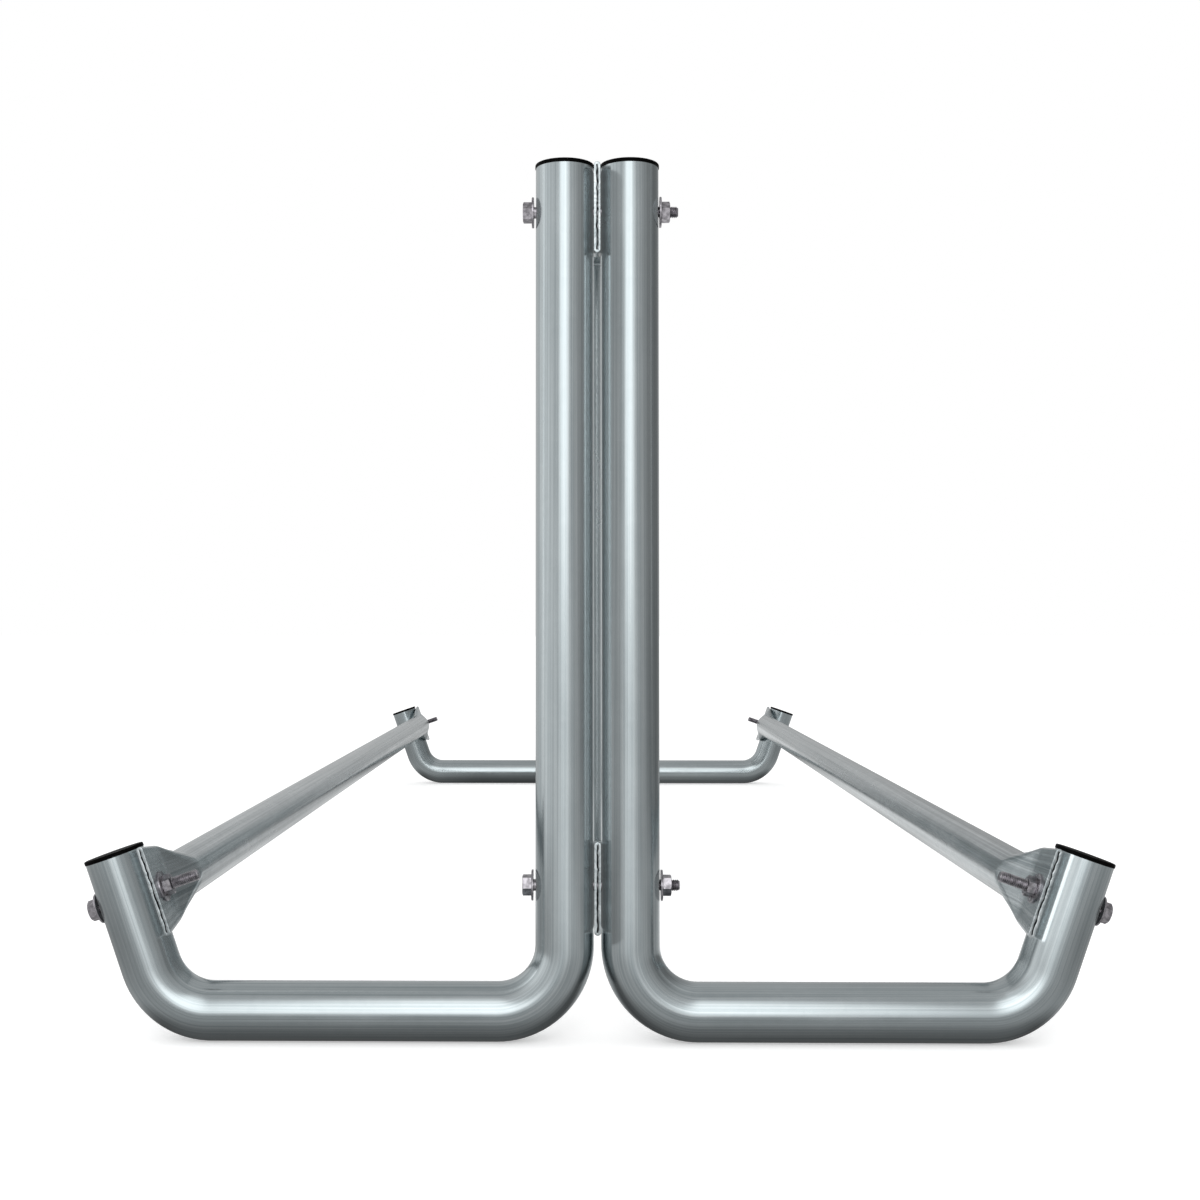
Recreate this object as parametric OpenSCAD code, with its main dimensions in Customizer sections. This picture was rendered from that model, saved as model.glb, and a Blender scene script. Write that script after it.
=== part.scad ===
// Double-sided grid rack for bicycles, made of bent and flattened galvanised pipe.
// X runs across the rack, Y along it and Z up. The origin is on the ground, in the
// middle of the rack. The front frame stands at minus Y and the rear frame at plus Y.

/* [Rack] */
// Distance along the rack between the middles of the two end frames
frame_span = 2064; // [1300:1:3000]

/* [Bent legs] */
// Outside diameter of the pipe that the legs are bent from
leg_od = 48.3; // [44:0.1:60]
// Wall of the leg pipe
leg_wall = 3.7; // [2.5:0.1:5]
// Height of the centre posts, without their caps
post_height = 722.5; // [500:0.5:1000]
// Radius of both bends, at the middle of the pipe
bend_r = 55; // [45:0.5:65]
// Distance from the middle of the rack to the corner of foot and outer post
foot_reach = 355.8; // [250:0.1:500]
// Lean of the outer posts away from upright, in degrees
outer_lean = 19.2; // [10:0.1:30]
// Length of an outer post, from that corner along its middle
outer_post_len = 134; // [128:0.5:200]

/* [Rails] */
// Outside diameter of the pipe that the four rails are made from
rail_od = 42.2; // [38:0.1:46]
// Wall of the rail pipe
rail_wall = 3.6; // [2.5:0.1:4.5]
// Drop from the top of the centre posts to the middle of the top rail
top_rail_drop = 36.5; // [34:0.5:60]
// Height of the middle of the bottom rail
bottom_rail_height = 127.5; // [120:0.5:200]
// Distance of a wheel rail's bolt from the corner, along the outer post
wheel_rail_at = 97; // [90:0.5:110]

/* [Flattened ends] */
// Width of a flattened end at its open edge
flat_width = 76; // [66:0.5:84]
// Thickness of a flattened end, both pressed walls together
flat_thick = 5.6; // [4.5:0.1:8]
// Slit that stays open between the two pressed walls
flat_slit = 0.9; // [0.4:0.1:1.5]
// Length of a flattened end in front of its bolt
flat_front = 19.5; // [16:0.5:26]
// Length behind the bolt that is still flat
flat_back = 22; // [13.5:0.5:30]
// Length over which the flat opens out to the round pipe
flare_len = 34; // [25:1:80]

/* [Grid bars] */
// Outside diameter of the upright bars
bar_od = 26.7; // [20:0.1:30]
// Wall of the bars
bar_wall = 2.9; // [2:0.1:3.5]
// Number of bars
bar_count = 19; // [3:1:23]
// Length of round rail that stays clear between a flare and the weld of the first bar
first_gap = 36; // [3:0.5:60]
// Size of the weld beads round the ends of the bars
weld_leg = 3; // [2:0.1:3.5]

/* [Bolts] */
// Diameter of the bolts
bolt_d = 9.5; // [8:0.1:10]
// Extra diameter of the holes that the bolts pass through
hole_clearance = 1.2; // [0.6:0.1:2]
// Size across the flats of heads and nuts
hex_flats = 15.2; // [13:0.1:17]
// Height of the bolt heads
head_height = 7.5; // [5:0.1:9]
// Height of the nuts
nut_height = 7.1; // [6:0.1:10]
// Play between the bolt and the bore of its nut, on the diameter
nut_play = 0.2; // [0.1:0.05:0.4]
// Outside diameter of the washers
washer_od = 25.4; // [20:0.1:26]
// Thickness of the washers
washer_thick = 1.6; // [1.2:0.1:3]
// Slack left under the washers at the heads of the centre bolts
head_slack = 1.5; // [0:0.1:2]
// Slack left under the washers at the nuts of the centre bolts
nut_slack = 0.7; // [0:0.1:2]
// Thread that shows past the nuts on the centre posts
post_bolt_tail = 6.8; // [3:0.1:20]
// Thread that shows past the nuts on the wheel rails
rail_bolt_tail = 22.7; // [3:0.1:30]

/* [Caps] */
// Thickness of a cap's flange
cap_flange = 3.4; // [2:0.1:5]
// How far the flange stands out past the pipe
cap_overhang = 0.5; // [0.2:0.1:1]
// Depth of the cap's plug inside the pipe
cap_depth = 22; // [12:0.5:26]
// Wall of the plug
cap_wall = 1.8; // [1:0.1:3]
// Height of the ribs round the plug
cap_rib = 1.6; // [0.8:0.1:2]
// Gap between the ribs and the bore of the pipe
cap_play = 0.15; // [0.1:0.05:0.3]
// Number of ribs on a plug
cap_ribs = 4; // [2:1:6]

/* [Hidden] */
// Gap where a flat piece is clamped against a round pipe
seat_gap = 0.1;
// How far a cut runs past the piece that it goes through
cut = 2;
// How deep the faceted flare reaches into the wall of the round pipe, and how far
// its facets stay inside both skins of that wall
collar = 6;
tuck = 0.06;
// The wall is drawn thinner by this much on each skin in the bends, which lap into the
// straight pipe by this many degrees
bend_draw = 0.25;
bend_lap = 1;
// Chamfers on bolt ends, and rounding of the caps' edge
tip_chamfer = 1;
cap_round = 1.2;
// Hex heads are turned down to this share of their width on their end face
hex_face_share = 0.94;
hex_chamfer_angle = 30;
// Heads and nuts are turned so that a corner points along the rack
hex_turn = 30;
// Width of one rib as a share of the ribs' spacing
rib_share = 0.35;
// The press has stretched the pipe's girth over this share of a flattened end
stretch_share = 0.73;
flare_steps = 6;
// Steps round a quarter of the section, on the folded edge and on the face
edge_steps = 3;
face_steps = 8;

leg_r = leg_od/2;
leg_bore_r = leg_r - leg_wall;
rail_r = rail_od/2;
rail_bore_r = rail_r - rail_wall;
bar_r = bar_od/2;
bar_bore_r = bar_r - bar_wall;
frame_y = frame_span/2;
// Middle of each centre post, so that the two clamp the flattened ends between them
post_x = leg_r + seat_gap + flat_thick/2;
top_rail_height = post_height - top_rail_drop;
rail_heights = [top_rail_height, bottom_rail_height];
bend_turn = 90 - outer_lean;
// From the corner to where the outer bend starts, on both legs of the corner
bend_reach = bend_r*tan(bend_turn/2);
bend_z = leg_r + bend_r;
foot_start = post_x + bend_r;
foot_end = foot_reach - bend_reach;
hole_d = bolt_d + hole_clearance;
post_face = post_x + leg_r + seat_gap;
rail_face = post_x + flat_thick/2;
flare_end = flat_back + flare_len;
ring_places = [-flat_front, each [for (j = [0 : flare_steps]) flat_back + flare_len*j/flare_steps],
    flare_end + collar];
skin_r = rail_r - tuck;
right_angle = PI/2;
tube_half = frame_y - flare_end - collar/2;
first_bar = flare_end + first_gap + weld_leg + bar_r;
bar_pitch = (frame_span - 2*first_bar)/(bar_count - 1);
quarter_steps = edge_steps + face_steps;
ring_steps = 4*quarter_steps;
hex_corner_r = hex_flats/2/cos(30);
cap_r = leg_r + cap_overhang;
rib_pitch = cap_depth/cap_ribs;

bar_names = [for (i = [1 : bar_count]) str("grid_bar_", i < 10 ? "0" : "", i)];

$fn = 96;
galvanised = [0.66, 0.70, 0.70];
zinc = [0.60, 0.57, 0.58];
cap_black = [0.06, 0.06, 0.06];

// Mirrors its children to the left for side -1 and leaves them for side 1
module on_side(side) {
    if (side < 0) mirror([1, 0, 0]) children();
    else children();
}

// Puts its children on the right outer post: origin on the middle of the post at the
// wheel rail's bolt, Z up the post and X outwards
module on_outer_post(at) {
    translate([foot_reach, 0, leg_r]) rotate([0, outer_lean, 0]) translate([0, 0, at]) children();
}

// A bend of round bar of radius r in the leg's plane, round the centre [x, bend_z]. It
// runs on from the angle start and laps a little into the straight stretches at its ends.
module bend(x, start, turn, r) {
    translate([x, 0, bend_z]) rotate([90, 0, 0]) rotate([0, 0, start - bend_lap])
        rotate_extrude(angle = turn + 2*bend_lap) translate([bend_r, 0]) circle(r = r);
}

// A round bar of radius r along the whole of a right leg, its two ends longer by over.
// Its bends have the radius in_bend.
module leg_path(r, in_bend, over) {
    translate([post_x, 0, bend_z]) cylinder(r = r, h = post_height - bend_z + over);
    bend(foot_start, 180, 90, in_bend);
    translate([foot_start, 0, leg_r]) rotate([0, 90, 0]) cylinder(r = r, h = foot_end - foot_start);
    bend(foot_end, 270, bend_turn, in_bend);
    on_outer_post(bend_reach) cylinder(r = r, h = outer_post_len - bend_reach + over);
}

// A leg: bent hollow pipe, drilled for the two centre bolts and the wheel rail's bolt
module leg(side, end) {
    color(galvanised) translate([0, end*frame_y, 0]) on_side(side) difference() {
        leg_path(leg_r, leg_r - bend_draw, 0);
        leg_path(leg_bore_r, leg_bore_r + bend_draw, cut);
        for (z = rail_heights) translate([post_x, 0, z]) rotate([0, 90, 0])
            cylinder(d = hole_d, h = leg_od + 2*cut, center = true);
        on_outer_post(wheel_rail_at) rotate([0, 90, 0])
            cylinder(d = hole_d, h = leg_od + 2*cut, center = true);
    }
}

// Blend from a to b by the share k
function blend(a, b, k) = a + (b - a)*k;

// How far a flattened end has opened at y past its bolt, from flat (0) to round (1)
function opened(y) = min(1, max(0, (y - flat_back)/flare_len));

// How much of the stretch in girth is left at y, from all of it (1) to none
function stretched(y) = max(0, 1 - (y + flat_front)/(stretch_share*(flat_front + flare_end)));

// A section is two straight faces between two half rounds, the folded edges. Both faces
// lie at half_thick(y), and the girth sets how wide the section then is.
function half_thick(y) = blend(flat_thick/2, skin_r, opened(y));
function quarter_girth(y) = blend(right_angle*skin_r,
    flat_width/2 + (right_angle - 1)*flat_thick/2, stretched(y));
function half_width(y) = quarter_girth(y) - (right_angle - 1)*half_thick(y);

// Share of the quarter's length at step i, from its folded edge to the middle of its face
function way_share(i, edge_share) = i <= edge_steps
    ? edge_share*i/edge_steps
    : edge_share + (1 - edge_share)*(i - edge_steps)/face_steps;

// Point of a quarter with half thickness t and half width w, at this way from its edge
function quarter_point(t, w, way) = way < right_angle*t
    ? [t*sin(way/t*180/PI), w - t*(1 - cos(way/t*180/PI))]
    : [t, w - t - (way - right_angle*t)];

// Signs of the four quarters, and the step counted in each from the folded edge
function quarter(k) = floor(k/quarter_steps);
function quarter_step(k) = quarter(k) % 2 == 0
    ? k - quarter(k)*quarter_steps
    : (quarter(k) + 1)*quarter_steps - k;
function sign_x(k) = quarter(k) < 2 ? 1 : -1;
function sign_z(k) = quarter(k) == 0 || quarter(k) == 3 ? 1 : -1;

// One ring of a skin at y, set in from the outer skin
function ring(y, inset) =
    let (t = half_thick(y) - inset, w = half_width(y) - inset, whole = w + (right_angle - 1)*t,
        edge_share = right_angle*flat_thick/2/quarter_girth(y))
    [for (k = [0 : ring_steps - 1])
        let (p = quarter_point(t, w, whole*way_share(quarter_step(k), edge_share)))
        [sign_x(k)*p.x, y, sign_z(k)*p.y]];

// All rings of one skin, from the open edge to the collar in the pipe's wall. It lies
// deeper than the outer skin by flat_inset on the flat and by round_inset on the pipe.
function skin(flat_inset, round_inset) = [for (y = ring_places)
    each ring(y, blend(flat_inset, round_inset, opened(y)))];

// A flattened pipe end as one closed body: outer skin, inner skin and two end faces
module flattened_end() {
    facet_angle = 90*(1 - flat_thick/rail_od)/face_steps/2;
    outer = skin(0, 0);
    inner = skin((flat_thick - flat_slit)/2, skin_r - rail_bore_r/cos(facet_angle) - tuck);
    n = ring_steps;
    rings = len(ring_places);
    far = rings*n;
    last = (rings - 1)*n;
    bands = [for (j = [0 : rings - 2]) for (k = [0 : n - 1]) let (m = (k + 1) % n)
        each [[j*n + k, j*n + n + m, j*n + m], [j*n + k, j*n + n + k, j*n + n + m],
            [far + j*n + k, far + j*n + m, far + j*n + n + m],
            [far + j*n + k, far + j*n + n + m, far + j*n + n + k]]];
    ends = [for (k = [0 : n - 1]) let (m = (k + 1) % n)
        each [[k, far + m, far + k], [k, m, far + m],
            [last + k, far + last + k, far + last + m], [last + k, far + last + m, last + m]]];
    polyhedron(points = concat(outer, inner), faces = concat(bands, ends), convexity = 6);
}

// A rail along Y: round pipe in the middle, flattened and drilled at both ends. The
// flats face X, and each end's bolt stands at the middle of its frame.
module rail() {
    difference() {
        union() {
            rotate([90, 0, 0]) difference() {
                cylinder(r = rail_r, h = 2*tube_half, center = true);
                cylinder(r = rail_bore_r, h = 2*(tube_half + cut), center = true);
            }
            translate([0, -frame_y, 0]) flattened_end();
            translate([0, frame_y, 0]) rotate([0, 0, 180]) flattened_end();
        }
        for (end = [-1, 1]) translate([0, end*frame_y, 0]) rotate([0, 90, 0])
            cylinder(d = hole_d, h = flat_thick + 2*cut, center = true);
    }
}

module grid_rail(z) {
    color(galvanised) translate([0, 0, z]) rail();
}

module wheel_rail(side) {
    color(galvanised) on_side(side) on_outer_post(wheel_rail_at) translate([-post_x, 0, 0]) rail();
}

function bar_y(i) = first_bar - frame_y + i*bar_pitch;

// An upright bar: open pipe, coped at both ends to sit on the two rails
module grid_bar(i) {
    color(galvanised) difference() {
        translate([0, bar_y(i), bottom_rail_height])
            cylinder(r = bar_r, h = top_rail_height - bottom_rail_height);
        translate([0, bar_y(i), bottom_rail_height - cut])
            cylinder(r = bar_bore_r, h = top_rail_height - bottom_rail_height + 2*cut);
        for (z = rail_heights) rail_cope(bar_y(i), z);
    }
}

// The piece of rail that a bar is coped to
module rail_cope(y, z) {
    translate([0, y, z]) rotate([90, 0, 0]) cylinder(r = rail_r, h = bar_od + 2*cut, center = true);
}

// Beads along the saddle where each bar meets one rail. up is 1 on the bottom rail,
// where the bars stand, and -1 on the top rail, where they end.
module weld_beads(z, up) {
    bead_len = bar_od + 2*weld_leg;
    color(galvanised) for (i = [0 : bar_count - 1]) translate([0, bar_y(i), z]) difference() {
        intersection() {
            rotate([90 - 90*up, 0, 0]) cylinder(r = bar_r + weld_leg, h = rail_r + weld_leg);
            rotate([90, 0, 0]) cylinder(r = rail_r + weld_leg, h = bead_len, center = true);
        }
        cylinder(r = bar_r, h = 2*(rail_od + cut), center = true);
        rotate([90, 0, 0]) cylinder(r = rail_r, h = bead_len + 2*cut, center = true);
    }
}

// A cap for a pipe end at its origin, pipe below: round-edged flange and ribbed plug
module end_cap() {
    plug_r = leg_bore_r - cap_play - cap_rib;
    edge = [for (a = [0 : 15 : 90])
        [cap_r - cap_round*(1 - cos(a)), cap_flange - cap_round*(1 - sin(a))]];
    color(cap_black) {
        rotate_extrude() polygon(concat([[0, 0], [cap_r, 0]], edge, [[0, cap_flange]]));
        translate([0, 0, -cap_depth]) difference() {
            cylinder(r = plug_r, h = cap_depth + cap_flange/2);
            translate([0, 0, -cut]) cylinder(r = plug_r - cap_wall, h = cap_depth + cut);
        }
        for (i = [0 : cap_ribs - 1]) translate([0, 0, -rib_pitch*(i + 0.5)]) cap_barb(plug_r);
    }
}

// One rib of a plug: a ring that slopes up and outwards from the plug's wall
module cap_barb(r) {
    rise = rib_share*rib_pitch;
    rotate_extrude() polygon([[r - cap_wall/2, -rise], [r, -rise], [r + cap_rib, rise/2],
        [r + cap_rib, rise], [r - cap_wall/2, 0]]);
}

module post_cap(side, end) {
    translate([side*post_x, end*frame_y, post_height]) end_cap();
}

module outer_cap(side, end) {
    translate([0, end*frame_y, 0]) on_side(side) on_outer_post(outer_post_len) end_cap();
}

// Outline turned round a hex piece of height h to chamfer its end face
module hex_turning(h) {
    face_r = hex_face_share*hex_flats/2;
    turn_r = hex_corner_r + tip_chamfer;
    drop = (turn_r - face_r)*tan(hex_chamfer_angle);
    rotate_extrude() polygon([[0, 0], [turn_r, 0], [turn_r, h - drop], [face_r, h], [0, h]]);
}

// A hex piece on the plane z = 0, chamfered on its end face
module hex_block(h) {
    intersection() {
        rotate([0, 0, hex_turn]) cylinder(r = hex_corner_r, h = h, $fn = 6);
        hex_turning(h);
    }
}

// A bolt with the underside of its head at the origin, its head towards -X
module hex_bolt(len) {
    color(zinc) {
        rotate([0, -90, 0]) hex_block(head_height);
        rotate([0, 90, 0]) rotate_extrude()
            polygon([[0, 0], [bolt_d/2, 0], [bolt_d/2, len - tip_chamfer],
                [bolt_d/2 - tip_chamfer, len], [0, len]]);
    }
}

// A nut that seats at the origin and stands towards +X
module hex_nut() {
    color(zinc) rotate([0, 90, 0]) difference() {
        hex_block(nut_height);
        translate([0, 0, -cut]) cylinder(d = bolt_d + nut_play, h = nut_height + 2*cut);
    }
}

// A washer that seats at the origin and stands towards +X
module washer() {
    color(zinc) rotate([0, 90, 0]) difference() {
        cylinder(d = washer_od, h = washer_thick);
        translate([0, 0, -cut]) cylinder(d = hole_d, h = washer_thick + 2*cut);
    }
}

// Every place of a centre bolt: the middle between the posts, X to the right
module at_post_bolts() {
    for (end = [-1, 1]) for (z = rail_heights) translate([0, end*frame_y, z]) children();
}

// Every place of a wheel rail's bolt: the middle of the outer post, X inwards
module at_rail_bolts() {
    for (end = [-1, 1]) for (side = [-1, 1]) translate([0, end*frame_y, 0])
        on_side(side) on_outer_post(wheel_rail_at) rotate([0, 180, 0]) children();
}

module post_bolts() {
    head_at = post_face + head_slack + washer_thick;
    nut_at = post_face + nut_slack + washer_thick;
    at_post_bolts() translate([-head_at, 0, 0])
        hex_bolt(head_at + nut_at + nut_height + post_bolt_tail);
}

module post_nuts() {
    at_post_bolts() translate([post_face + nut_slack + washer_thick, 0, 0]) hex_nut();
}

module post_washers() {
    at_post_bolts() {
        rotate([0, 0, 180]) translate([post_face + head_slack, 0, 0]) washer();
        translate([post_face + nut_slack, 0, 0]) washer();
    }
}

module rail_bolts() {
    head_at = leg_r + seat_gap + washer_thick;
    len = head_at + rail_face + washer_thick + nut_height + rail_bolt_tail;
    at_rail_bolts() translate([-head_at, 0, 0]) hex_bolt(len);
}

module rail_nuts() {
    at_rail_bolts() translate([rail_face + washer_thick, 0, 0]) hex_nut();
}

module rail_washers() {
    at_rail_bolts() {
        rotate([0, 0, 180]) translate([leg_r + seat_gap, 0, 0]) washer();
        translate([rail_face, 0, 0]) washer();
    }
}

leg(-1, -1);  // front_left_leg
leg(1, -1);  // front_right_leg
leg(-1, 1);  // rear_left_leg
leg(1, 1);  // rear_right_leg
grid_rail(top_rail_height);  // top_grid_rail
grid_rail(bottom_rail_height);  // bottom_grid_rail
wheel_rail(-1);  // left_wheel_rail
wheel_rail(1);  // right_wheel_rail
for (i = [0 : bar_count - 1]) grid_bar(i);
weld_beads(top_rail_height, -1);  // top_weld_beads
weld_beads(bottom_rail_height, 1);  // bottom_weld_beads
post_cap(-1, -1);  // front_left_post_cap
post_cap(1, -1);  // front_right_post_cap
post_cap(-1, 1);  // rear_left_post_cap
post_cap(1, 1);  // rear_right_post_cap
outer_cap(-1, -1);  // front_left_outer_cap
outer_cap(1, -1);  // front_right_outer_cap
outer_cap(-1, 1);  // rear_left_outer_cap
outer_cap(1, 1);  // rear_right_outer_cap
post_bolts();
post_nuts();
post_washers();
rail_bolts();
rail_nuts();
rail_washers();
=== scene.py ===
import bmesh
import bpy
from math import atan2, cos, degrees, pi, radians, sin, sqrt, tan
from mathutils import Matrix, Vector, kdtree, noise


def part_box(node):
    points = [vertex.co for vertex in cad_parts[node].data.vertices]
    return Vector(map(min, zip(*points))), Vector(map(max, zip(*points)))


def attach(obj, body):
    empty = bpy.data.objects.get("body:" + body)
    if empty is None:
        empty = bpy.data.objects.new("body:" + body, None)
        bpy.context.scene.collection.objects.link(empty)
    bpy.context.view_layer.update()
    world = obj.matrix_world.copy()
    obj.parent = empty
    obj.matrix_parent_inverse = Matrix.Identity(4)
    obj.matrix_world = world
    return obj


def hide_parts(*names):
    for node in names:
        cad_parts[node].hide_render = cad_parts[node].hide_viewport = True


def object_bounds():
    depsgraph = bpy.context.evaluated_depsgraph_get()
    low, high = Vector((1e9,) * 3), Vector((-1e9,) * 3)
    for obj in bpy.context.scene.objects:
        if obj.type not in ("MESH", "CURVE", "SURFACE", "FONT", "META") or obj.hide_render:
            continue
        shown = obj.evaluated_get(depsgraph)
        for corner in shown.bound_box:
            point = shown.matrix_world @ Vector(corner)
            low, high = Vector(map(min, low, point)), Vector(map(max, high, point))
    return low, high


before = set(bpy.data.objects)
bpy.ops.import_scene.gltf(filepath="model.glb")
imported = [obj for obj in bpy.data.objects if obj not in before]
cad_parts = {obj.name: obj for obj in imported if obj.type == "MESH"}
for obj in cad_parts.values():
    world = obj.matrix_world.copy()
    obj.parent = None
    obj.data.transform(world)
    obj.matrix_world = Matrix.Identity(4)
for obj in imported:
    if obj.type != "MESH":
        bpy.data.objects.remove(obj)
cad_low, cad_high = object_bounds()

# The camera stands in front of one end frame, a little left of the middle and at half
# the rack's height, and looks along the rack. Its place, turn, focal length and image
# centre were solved from the outlines of the pipes in the photograph.
mm = 0.001
photo_side_px = 1200
focal_px = 1591.9
image_centre_px = (566.4, 568.2)
camera_place = Vector((-6.6, -2352.0, 346.4))*mm
camera_yaw, camera_pitch = radians(-0.828), radians(1.84)
sensor_width = 36


def placed(name, data):
    """A new object in the scene."""
    made = bpy.data.objects.new(name, data)
    bpy.context.scene.collection.objects.link(made)
    return made


camera = placed("camera", bpy.data.cameras.new("camera"))
bpy.context.scene.camera = camera
camera.location = camera_place
camera.rotation_euler = (pi/2 + camera_pitch, 0, -camera_yaw)
camera.data.sensor_width = sensor_width
camera.data.lens = focal_px/photo_side_px*sensor_width
camera.data.shift_x = 0.5 - image_centre_px[0]/photo_side_px
camera.data.shift_y = image_centre_px[1]/photo_side_px - 0.5
camera.data.clip_start, camera.data.clip_end = 0.05, 200
bpy.context.scene.view_settings.view_transform = "Standard"

# The studio is a white room with a pale floor. Round the rack stands a light tent that
# only the metal mirrors. Its cloth is white on the left, falls to dark grey on the right
# and carries one big soft light behind the camera and a narrow strip at either side.
tent_radius, floor_side = 9.0, 60.0
white_level, room_light = 1.0, 0.85


def linear(colour):
    """Turns an sRGB hex colour into the linear values that a shader takes."""
    shares = [int(colour[i:i + 2], 16)/255 for i in (1, 3, 5)]
    return [c/12.92 if c <= 0.04045 else ((c + 0.055)/1.055)**2.4 for c in shares] + [1.0]


def add(tree, kind, settings, inputs):
    """Adds a node with its settings. An input is a value, or a socket to link from."""
    made = tree.nodes.new(kind)
    for name, value in settings.items():
        setattr(made, name, value)
    for key, value in inputs.items():
        if isinstance(value, bpy.types.NodeSocket):
            tree.links.new(value, made.inputs[key])
        else:
            made.inputs[key].default_value = value
    return made


def math_node(tree, operation, *inputs):
    """The output of one sum on numbers or sockets."""
    return add(tree, "ShaderNodeMath", {"operation": operation}, dict(enumerate(inputs))).outputs[0]


def product(tree, *factors):
    """The output of a product of two or three numbers or sockets."""
    first = factors[0] if len(factors) == 2 else product(tree, *factors[:-1])
    return math_node(tree, "MULTIPLY", first, factors[-1])


def stepped(tree, value, low, high, to_low, to_high):
    """The socket value, moved smoothly from to_low at low to to_high at high."""
    inputs = {"Value": value, "From Min": low, "From Max": high, "To Min": to_low, "To Max": to_high}
    return add(tree, "ShaderNodeMapRange", {"interpolation_type": "SMOOTHSTEP"}, inputs).outputs[0]


def mixed(tree, share, first, second):
    """A value that goes from first to second with the share."""
    return math_node(tree, "MULTIPLY_ADD", math_node(tree, "SUBTRACT", second, first), share, first)


def new_material(name):
    """A material with an empty node tree, and its output node."""
    made = bpy.data.materials.new(name)
    made.use_nodes = True
    made.node_tree.nodes.clear()
    return made, made.node_tree, add(made.node_tree, "ShaderNodeOutputMaterial", {}, {})


def object_place(tree):
    """The place on the object itself, in metres."""
    return add(tree, "ShaderNodeTexCoord", {}, {}).outputs["Object"]


def white_light(tree, level):
    """White light of this level."""
    return add(tree, "ShaderNodeEmission", {}, {"Color": linear("#FFFFFF"), "Strength": level}).outputs[0]


def mesh_object(name, points, faces, material):
    """An object at the origin from points in metres and faces."""
    mesh = bpy.data.meshes.new(name)
    mesh.from_pydata([tuple(p) for p in points], [], faces)
    mesh.materials.append(material)
    return placed(name, mesh)


# Levels of the tent's cloth, from behind the camera (0 degrees) to the left (minus) and
# to the right. They fall off smoothly between these places.
cloth_levels = [(-180, 0.62), (-160, 0.66), (-140, 0.80), (-100, 0.98), (-70, 1.10),
                (-50, 0.92), (-25, 0.88), (5, 0.95), (28, 0.78), (42, 0.58),
                (62, 0.44), (82, 0.30), (125, 0.24), (150, 0.36), (180, 0.62)]
brightest, full_turn = 1.2, 360
key_from, key_to = (-25.0, -11.0), (5.0, 20.0)


def cloth_light(tree, across, ahead):
    """The level of the cloth towards a place, the share of the big light there, and the
    place's bearing in degrees. The place is given across and ahead of the front frame."""
    bearing = product(tree, math_node(tree, "ARCTAN2", across, ahead), degrees(1))
    ramp = add(tree, "ShaderNodeValToRGB", {},
               {"Fac": math_node(tree, "MULTIPLY_ADD", bearing, 1/full_turn, 0.5)})
    ramp.color_ramp.interpolation = "EASE"
    while len(ramp.color_ramp.elements) < len(cloth_levels):
        ramp.color_ramp.elements.new(0.5)
    for stop, (at, value) in zip(ramp.color_ramp.elements, cloth_levels):
        stop.position, stop.color = at/full_turn + 0.5, (value/brightest,)*3 + (1.0,)
    key = product(tree, stepped(tree, bearing, *key_from, 0.0, 1.0),
                  stepped(tree, bearing, *key_to, 1.0, 0.0))
    return product(tree, ramp.outputs["Color"], brightest), key, bearing


# The room's white is what the camera sees behind the rack. As light on matt things it is
# a little dimmer.
world = bpy.data.worlds.new("white_room")
bpy.context.scene.world = world
world.use_nodes = True
world.node_tree.nodes.clear()
path = add(world.node_tree, "ShaderNodeLightPath", {}, {}).outputs
seen = math_node(world.node_tree, "MAXIMUM", path["Is Camera Ray"], path["Is Glossy Ray"])
seen = math_node(world.node_tree, "MAXIMUM", seen, path["Is Transmission Ray"])
level = stepped(world.node_tree, seen, 0.0, 1.0, room_light, white_level)
light = add(world.node_tree, "ShaderNodeBackground", {}, {"Color": linear("#FFFFFF"), "Strength": level})
add(world.node_tree, "ShaderNodeOutputWorld", {}, {"Surface": light.outputs[0]})

# The floor is painted white. The camera sees it a little lighter than it is, so that it
# meets the white room without an edge. The metal sees a painted glow instead: painted shade dark
# under the feet, grey at both sides, light between the frames, a faint painted pool of the big light near the
# feet and as bright as the cloth further away.
frame_inset, foot_line_half = 24*mm, 0.36
foot_line_y = (cad_high.y - cad_low.y)/2 - frame_inset
floor_lift, floor_key = 0.42, 0.25
floor_front, floor_sides, floor_between = 0.95, 0.62, (0.6, 1.1)
# Painted shade near the feet, as two shares of light, each from and to a distance, then its values there
floor_shades = [(0.0, 0.07, 0.12, 0.55), (0.07, 0.7, 0.0, 0.42)]
# Where one level goes over into the next, in metres from the middle, the feet or the frame
sides_at, cloth_at, spill_at = (foot_line_half, 0.6), (0.4, 1.4), (0.1, 0.5)
between_across, between_behind, between_turn = (0.22, 0.36), (0.1, 0.4), (-0.1, 0.1)
floor_paint_and_painted_shade, tree, out = new_material("floor_white_matt_paint")
path = add(tree, "ShaderNodeLightPath", {}, {}).outputs
split = add(tree, "ShaderNodeSeparateXYZ", {}, {0: object_place(tree)}).outputs
from_middle = math_node(tree, "ABSOLUTE", split["X"])
beside = math_node(tree, "MAXIMUM", math_node(tree, "SUBTRACT", from_middle, foot_line_half), 0.0)
before = math_node(tree, "SUBTRACT", math_node(tree, "ABSOLUTE", split["Y"]), foot_line_y)
squares = [math_node(tree, "POWER", way, 2.0) for way in (beside, math_node(tree, "ABSOLUTE", before))]
from_foot = math_node(tree, "SQRT", math_node(tree, "ADD", *squares))
behind = math_node(tree, "ADD", split["Y"], foot_line_y)
walls, key = cloth_light(tree, split["X"], product(tree, behind, -1.0))[:2]
near = mixed(tree, stepped(tree, from_middle, *sides_at, 0.0, 1.0), floor_front, floor_sides)
level = mixed(tree, stepped(tree, from_foot, *cloth_at, 0.0, 1.0), near, walls)
inside = product(tree, stepped(tree, from_middle, *between_across, 1.0, 0.0),
                 stepped(tree, behind, *between_behind, 0.0, 1.0))
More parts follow.
